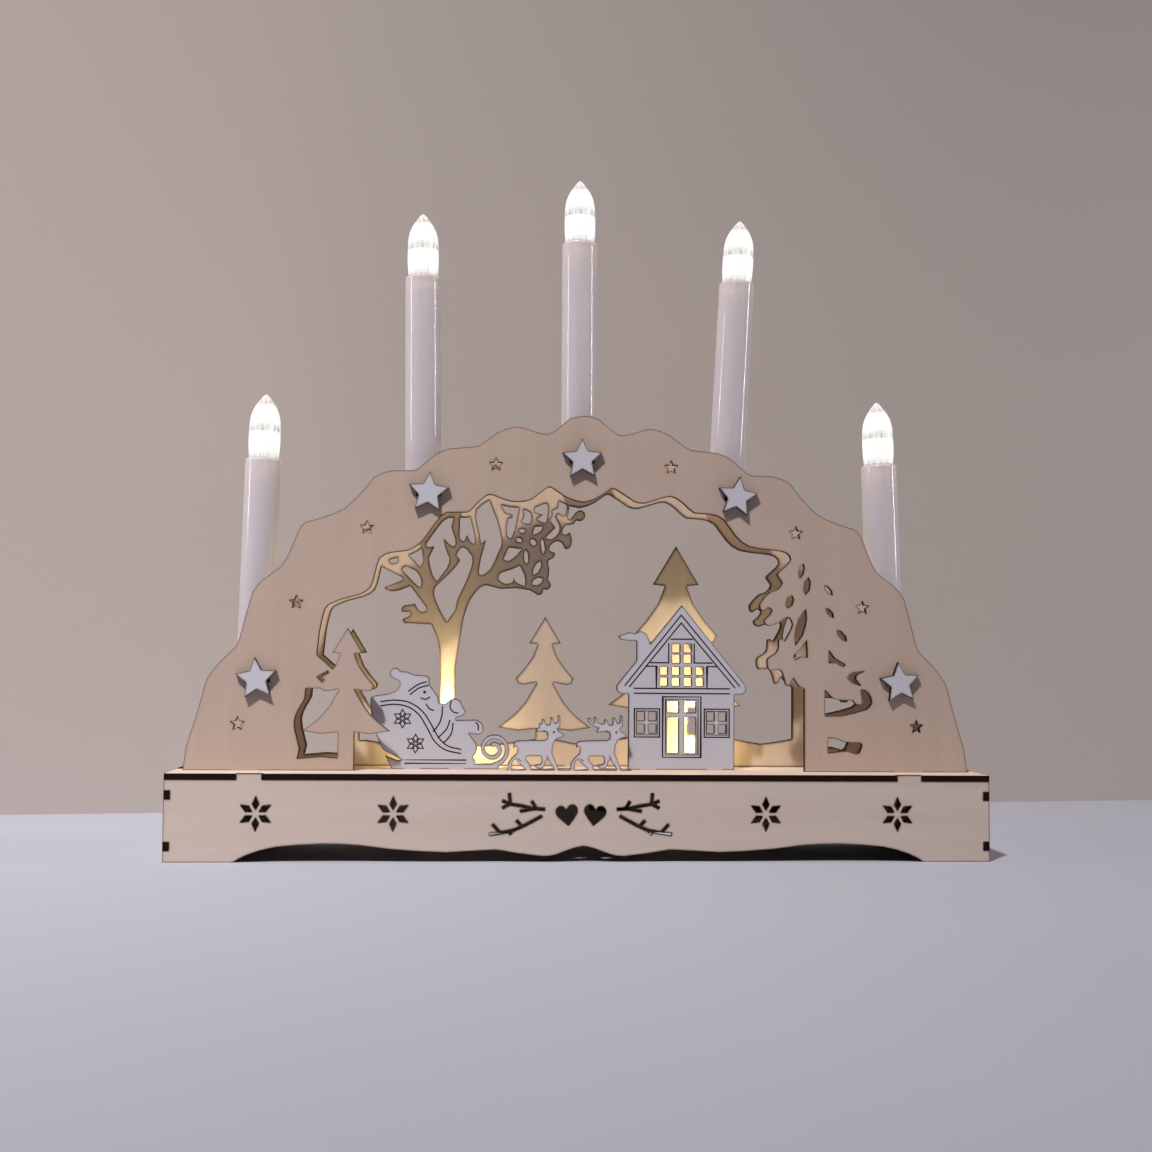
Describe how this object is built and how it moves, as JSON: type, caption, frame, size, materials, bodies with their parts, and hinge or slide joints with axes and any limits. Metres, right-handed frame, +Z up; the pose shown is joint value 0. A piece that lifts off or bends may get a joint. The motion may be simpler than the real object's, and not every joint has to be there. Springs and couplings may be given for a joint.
{
  "type": "led candle holder",
  "caption": "Plywood candle arch on a shallow box foot, with slim battery-lit candles on shelves between two cut arches and a white winter scene behind the front one.",
  "frame": {"origin": "middle of the box foot's underside, on the surface that it stands on", "axes": "+X along the arch, to the viewer's right, -Y towards the viewer, +Z up"},
  "size_m": [0.4, 0.068, 0.3445],
  "materials": {
    "raw_plywood": "unvarnished birch plywood with scorched cut edges",
    "warm_plywood": "unvarnished plywood, warmly lit",
    "white_paint": "thin matt white paint on plywood, scorched edges",
    "candle_plastic": "satin white plastic",
    "flame_plastic": "moulded translucent plastic, fluted",
    "light_resin": "clear warm-white resin",
    "lead_sheath": "thin white insulation",
    "dark_plastic": "moulded, lightly grained",
    "cell_jacket": "printed film without lettering",
    "spring_steel": "nickel plated"
  },
  "bodies": {
    "frame": {"base_front_panel": "raw_plywood", "base_back_panel": "raw_plywood", "base_left_side": "raw_plywood", "base_right_side": "raw_plywood", "base_lid": "raw_plywood", "front_arch": "raw_plywood", "candle_shelf_1": "raw_plywood", "candle_shelf_2": "raw_plywood", "candle_shelf_3": "raw_plywood", "candle_shelf_4": "raw_plywood", "candle_shelf_5": "raw_plywood", "back_arch": "warm_plywood", "star_1": "white_paint", "star_2": "white_paint", "star_3": "white_paint", "star_4": "white_paint", "star_5": "white_paint", "sleigh": "white_paint", "reindeer_rear": "white_paint", "reindeer_front": "white_paint", "house": "white_paint", "candle_peg_1": "candle_plastic", "candle_peg_2": "candle_plastic", "candle_peg_3": "candle_plastic", "candle_peg_4": "candle_plastic", "candle_peg_5": "candle_plastic", "candle_tube_1": "candle_plastic", "candle_tube_2": "candle_plastic", "candle_tube_3": "candle_plastic", "candle_tube_4": "candle_plastic", "candle_tube_5": "candle_plastic", "flame_bulb_1": "flame_plastic", "flame_bulb_2": "flame_plastic", "flame_bulb_3": "flame_plastic", "flame_bulb_4": "flame_plastic", "flame_bulb_5": "flame_plastic", "flame_light_1": "light_resin", "flame_light_2": "light_resin", "flame_light_3": "light_resin", "flame_light_4": "light_resin", "flame_light_5": "light_resin", "scene_light_sleigh": "light_resin", "scene_light_house": "light_resin", "candle_lead_1": "lead_sheath", "candle_lead_2": "lead_sheath", "candle_lead_3": "lead_sheath", "candle_lead_4": "lead_sheath", "candle_lead_5": "lead_sheath", "switch_lead": "lead_sheath", "battery_box": "dark_plastic", "terminal_block": "dark_plastic", "switch_body": "dark_plastic", "battery_cell_1": "cell_jacket", "battery_cell_2": "cell_jacket", "battery_cell_3": "cell_jacket", "contact_strip_left": "spring_steel", "contact_strip_right": "spring_steel"},
    "switch_knob": {"switch_knob": "dark_plastic"},
    "battery_cover": {"battery_cover": "dark_plastic"}
  },
  "joints": [
    {"name": "switch_slide", "type": "slide", "parent": "frame", "child": "switch_knob", "axis": [1, 0, 0], "range_m": [0, 0.004]},
    {"name": "battery_cover_slide", "type": "slide", "parent": "frame", "child": "battery_cover", "axis": [1, 0, 0], "range_m": [0, 0.052]}
  ]
}
